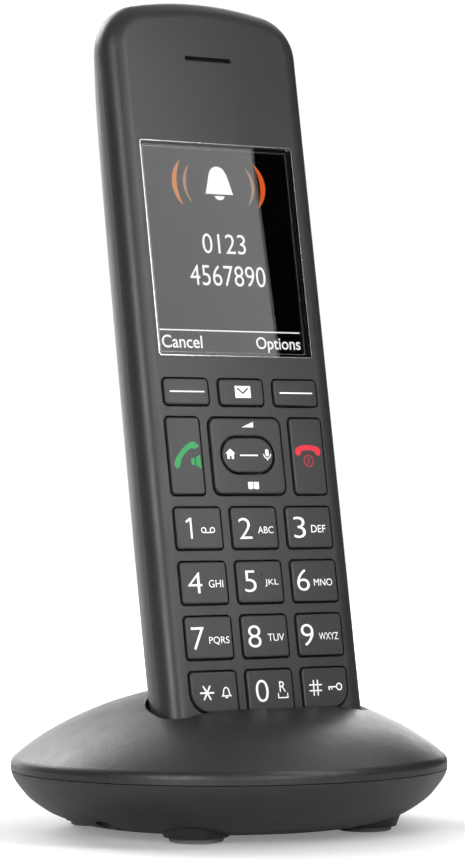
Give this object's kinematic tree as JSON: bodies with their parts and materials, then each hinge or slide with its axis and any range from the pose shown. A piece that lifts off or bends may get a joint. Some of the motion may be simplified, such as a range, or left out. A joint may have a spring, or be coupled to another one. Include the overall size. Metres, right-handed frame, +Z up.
{
  "type": "cordless telephone",
  "caption": "Cordless telephone handset with a colour display and number keys, leaning back in a round domed charging cradle.",
  "frame": {"origin": "on the floor under the centre of the round cradle", "axes": "+Z up, +X to the right as the keys are read, the keypad faces -Y and the handset leans back towards +Y"},
  "size_m": [0.0894, 0.0894, 0.1707],
  "materials": {
    "handset_front_housing": "satin dark grey",
    "handset_back_housing": "satin dark grey",
    "battery_cover": "satin dark grey",
    "battery_left": "printed sleeve",
    "battery_right": "printed sleeve",
    "battery_contacts": "nickel plated",
    "display_window": "clear gloss",
    "window_adhesive": "black foam tape",
    "display_gasket": "foam",
    "display_module": "glass over colour panel",
    "earpiece_mesh": "black mesh",
    "earpiece_speaker": "satin",
    "microphone": "boot",
    "handset_circuit_board": "green solder mask",
    "radio_shield": "tin plated",
    "processor_chip": "epoxy",
    "dome_sheet": "steel domes under film",
    "keypad_mat": "translucent silicone",
    "loudspeaker": "satin",
    "handset_screws": "black zinc",
    "handset_charging_contacts": "plated",
    "ok_key_plunger": "natural",
    "cradle_top_shell": "fine texture, dark grey",
    "cradle_bottom_shell": "fine texture, dark grey",
    "rubber_feet": "matt grey",
    "cradle_screws": "zinc",
    "cradle_circuit_board": "green solder mask",
    "cradle_capacitor": "sleeved can",
    "cradle_coil": "wound copper",
    "power_inlet_jack": "black",
    "power_inlet_contacts": "gold flash",
    "contact_holder": "natural",
    "charging_pin_left": "plated",
    "charging_pin_right": "plated",
    "soft_key_left": "satin dark grey with printed legend",
    "message_key": "satin dark grey with printed legend",
    "soft_key_right": "satin dark grey with printed legend",
    "talk_key": "satin dark grey with printed legend",
    "end_key": "satin dark grey with printed legend",
    "key_1": "satin dark grey with printed legend",
    "key_2": "satin dark grey with printed legend",
    "key_3": "satin dark grey with printed legend",
    "key_4": "satin dark grey with printed legend",
    "key_5": "satin dark grey with printed legend",
    "key_6": "satin dark grey with printed legend",
    "key_7": "satin dark grey with printed legend",
    "key_8": "satin dark grey with printed legend",
    "key_9": "satin dark grey with printed legend",
    "key_star": "satin dark grey with printed legend",
    "key_0": "satin dark grey with printed legend",
    "key_hash": "satin dark grey with printed legend",
    "nav_key": "satin dark grey with printed legend",
    "ok_key": "satin dark grey with printed legend"
  },
  "bodies": {
    "cradle": {"cradle_top_shell": "cradle_top_shell", "cradle_bottom_shell": "cradle_bottom_shell", "rubber_feet": "rubber_feet", "cradle_screws": "cradle_screws", "cradle_circuit_board": "cradle_circuit_board", "cradle_capacitor": "cradle_capacitor", "cradle_coil": "cradle_coil", "power_inlet_jack": "power_inlet_jack", "power_inlet_contacts": "power_inlet_contacts", "contact_holder": "contact_holder"},
    "handset": {"handset_front_housing": "handset_front_housing", "handset_back_housing": "handset_back_housing", "battery_left": "battery_left", "battery_right": "battery_right", "battery_contacts": "battery_contacts", "display_window": "display_window", "window_adhesive": "window_adhesive", "display_gasket": "display_gasket", "display_module": "display_module", "earpiece_mesh": "earpiece_mesh", "earpiece_speaker": "earpiece_speaker", "microphone": "microphone", "handset_circuit_board": "handset_circuit_board", "radio_shield": "radio_shield", "processor_chip": "processor_chip", "dome_sheet": "dome_sheet", "keypad_mat": "keypad_mat", "loudspeaker": "loudspeaker", "handset_screws": "handset_screws", "handset_charging_contacts": "handset_charging_contacts"},
    "battery_cover": {"battery_cover": "battery_cover"},
    "charging_pin_left": {"charging_pin_left": "charging_pin_left"},
    "charging_pin_right": {"charging_pin_right": "charging_pin_right"},
    "soft_key_left": {"soft_key_left": "soft_key_left"},
    "message_key": {"message_key": "message_key"},
    "soft_key_right": {"soft_key_right": "soft_key_right"},
    "talk_key": {"talk_key": "talk_key"},
    "end_key": {"end_key": "end_key"},
    "key_1": {"key_1": "key_1"},
    "key_2": {"key_2": "key_2"},
    "key_3": {"key_3": "key_3"},
    "key_4": {"key_4": "key_4"},
    "key_5": {"key_5": "key_5"},
    "key_6": {"key_6": "key_6"},
    "key_7": {"key_7": "key_7"},
    "key_8": {"key_8": "key_8"},
    "key_9": {"key_9": "key_9"},
    "key_star": {"key_star": "key_star"},
    "key_0": {"key_0": "key_0"},
    "key_hash": {"key_hash": "key_hash"},
    "nav_key": {"nav_key": "nav_key"},
    "ok_key_plunger": {"ok_key_plunger": "ok_key_plunger"},
    "ok_key": {"ok_key": "ok_key"}
  },
  "joints": [
    {"name": "handset_lift", "type": "slide", "parent": "cradle", "child": "handset", "axis": [0, 0.1764, 0.9843], "range_m": [0, 0.045]},
    {"name": "battery_cover_off", "type": "slide", "parent": "handset", "child": "battery_cover", "axis": [0, 0.9843, -0.1764], "range_m": [0, 0.012]},
    {"name": "charging_pin_left_travel", "type": "slide", "parent": "cradle", "child": "charging_pin_left", "axis": [0, 0.1764, 0.9843], "range_m": [-0.001, 0], "stiffness_N_per_m": 150, "springref_m": 0.0006},
    {"name": "charging_pin_right_travel", "type": "slide", "parent": "cradle", "child": "charging_pin_right", "axis": [0, 0.1764, 0.9843], "range_m": [-0.001, 0], "stiffness_N_per_m": 150, "springref_m": 0.0006},
    {"name": "soft_key_left_press", "type": "slide", "parent": "handset", "child": "soft_key_left", "axis": [0, -0.9843, 0.1764], "range_m": [-0.0005, 0], "stiffness_N_per_m": 400, "springref_m": 0.0003},
    {"name": "message_key_press", "type": "slide", "parent": "handset", "child": "message_key", "axis": [0, -0.9843, 0.1764], "range_m": [-0.0005, 0], "stiffness_N_per_m": 400, "springref_m": 0.0003},
    {"name": "soft_key_right_press", "type": "slide", "parent": "handset", "child": "soft_key_right", "axis": [0, -0.9843, 0.1764], "range_m": [-0.0005, 0], "stiffness_N_per_m": 400, "springref_m": 0.0003},
    {"name": "talk_key_press", "type": "slide", "parent": "handset", "child": "talk_key", "axis": [0, -0.9843, 0.1764], "range_m": [-0.0005, 0], "stiffness_N_per_m": 400, "springref_m": 0.0003},
    {"name": "end_key_press", "type": "slide", "parent": "handset", "child": "end_key", "axis": [0, -0.9843, 0.1764], "range_m": [-0.0005, 0], "stiffness_N_per_m": 400, "springref_m": 0.0003},
    {"name": "key_1_press", "type": "slide", "parent": "handset", "child": "key_1", "axis": [0, -0.9843, 0.1764], "range_m": [-0.0005, 0], "stiffness_N_per_m": 400, "springref_m": 0.0003},
    {"name": "key_2_press", "type": "slide", "parent": "handset", "child": "key_2", "axis": [0, -0.9843, 0.1764], "range_m": [-0.0005, 0], "stiffness_N_per_m": 400, "springref_m": 0.0003},
    {"name": "key_3_press", "type": "slide", "parent": "handset", "child": "key_3", "axis": [0, -0.9843, 0.1764], "range_m": [-0.0005, 0], "stiffness_N_per_m": 400, "springref_m": 0.0003},
    {"name": "key_4_press", "type": "slide", "parent": "handset", "child": "key_4", "axis": [0, -0.9843, 0.1764], "range_m": [-0.0005, 0], "stiffness_N_per_m": 400, "springref_m": 0.0003},
    {"name": "key_5_press", "type": "slide", "parent": "handset", "child": "key_5", "axis": [0, -0.9843, 0.1764], "range_m": [-0.0005, 0], "stiffness_N_per_m": 400, "springref_m": 0.0003},
    {"name": "key_6_press", "type": "slide", "parent": "handset", "child": "key_6", "axis": [0, -0.9843, 0.1764], "range_m": [-0.0005, 0], "stiffness_N_per_m": 400, "springref_m": 0.0003},
    {"name": "key_7_press", "type": "slide", "parent": "handset", "child": "key_7", "axis": [0, -0.9843, 0.1764], "range_m": [-0.0005, 0], "stiffness_N_per_m": 400, "springref_m": 0.0003},
    {"name": "key_8_press", "type": "slide", "parent": "handset", "child": "key_8", "axis": [0, -0.9843, 0.1764], "range_m": [-0.0005, 0], "stiffness_N_per_m": 400, "springref_m": 0.0003},
    {"name": "key_9_press", "type": "slide", "parent": "handset", "child": "key_9", "axis": [0, -0.9843, 0.1764], "range_m": [-0.0005, 0], "stiffness_N_per_m": 400, "springref_m": 0.0003},
    {"name": "key_star_press", "type": "slide", "parent": "handset", "child": "key_star", "axis": [0, -0.9843, 0.1764], "range_m": [-0.0005, 0], "stiffness_N_per_m": 400, "springref_m": 0.0003},
    {"name": "key_0_press", "type": "slide", "parent": "handset", "child": "key_0", "axis": [0, -0.9843, 0.1764], "range_m": [-0.0005, 0], "stiffness_N_per_m": 400, "springref_m": 0.0003},
    {"name": "key_hash_press", "type": "slide", "parent": "handset", "child": "key_hash", "axis": [0, -0.9843, 0.1764], "range_m": [-0.0005, 0], "stiffness_N_per_m": 400, "springref_m": 0.0003},
    {"name": "nav_key_rock", "type": "hinge", "parent": "handset", "child": "nav_key", "pos_m": [0, -0.0063, 0.07556], "axis": [1, 0, 0], "range_deg": [-2, 2], "stiffness_Nm_per_rad": 0.03},
    {"name": "ok_key_press", "type": "slide", "parent": "handset", "child": "ok_key_plunger", "axis": [0, -0.9843, 0.1764], "range_m": [-0.0005, 0], "stiffness_N_per_m": 400, "springref_m": 0.0003},
    {"name": "ok_key_rock", "type": "hinge", "parent": "ok_key_plunger", "child": "ok_key", "pos_m": [0, -0.00558, 0.07561], "axis": [0, 0.1764, 0.9843], "range_deg": [-3, 3], "stiffness_Nm_per_rad": 0.02}
  ]
}
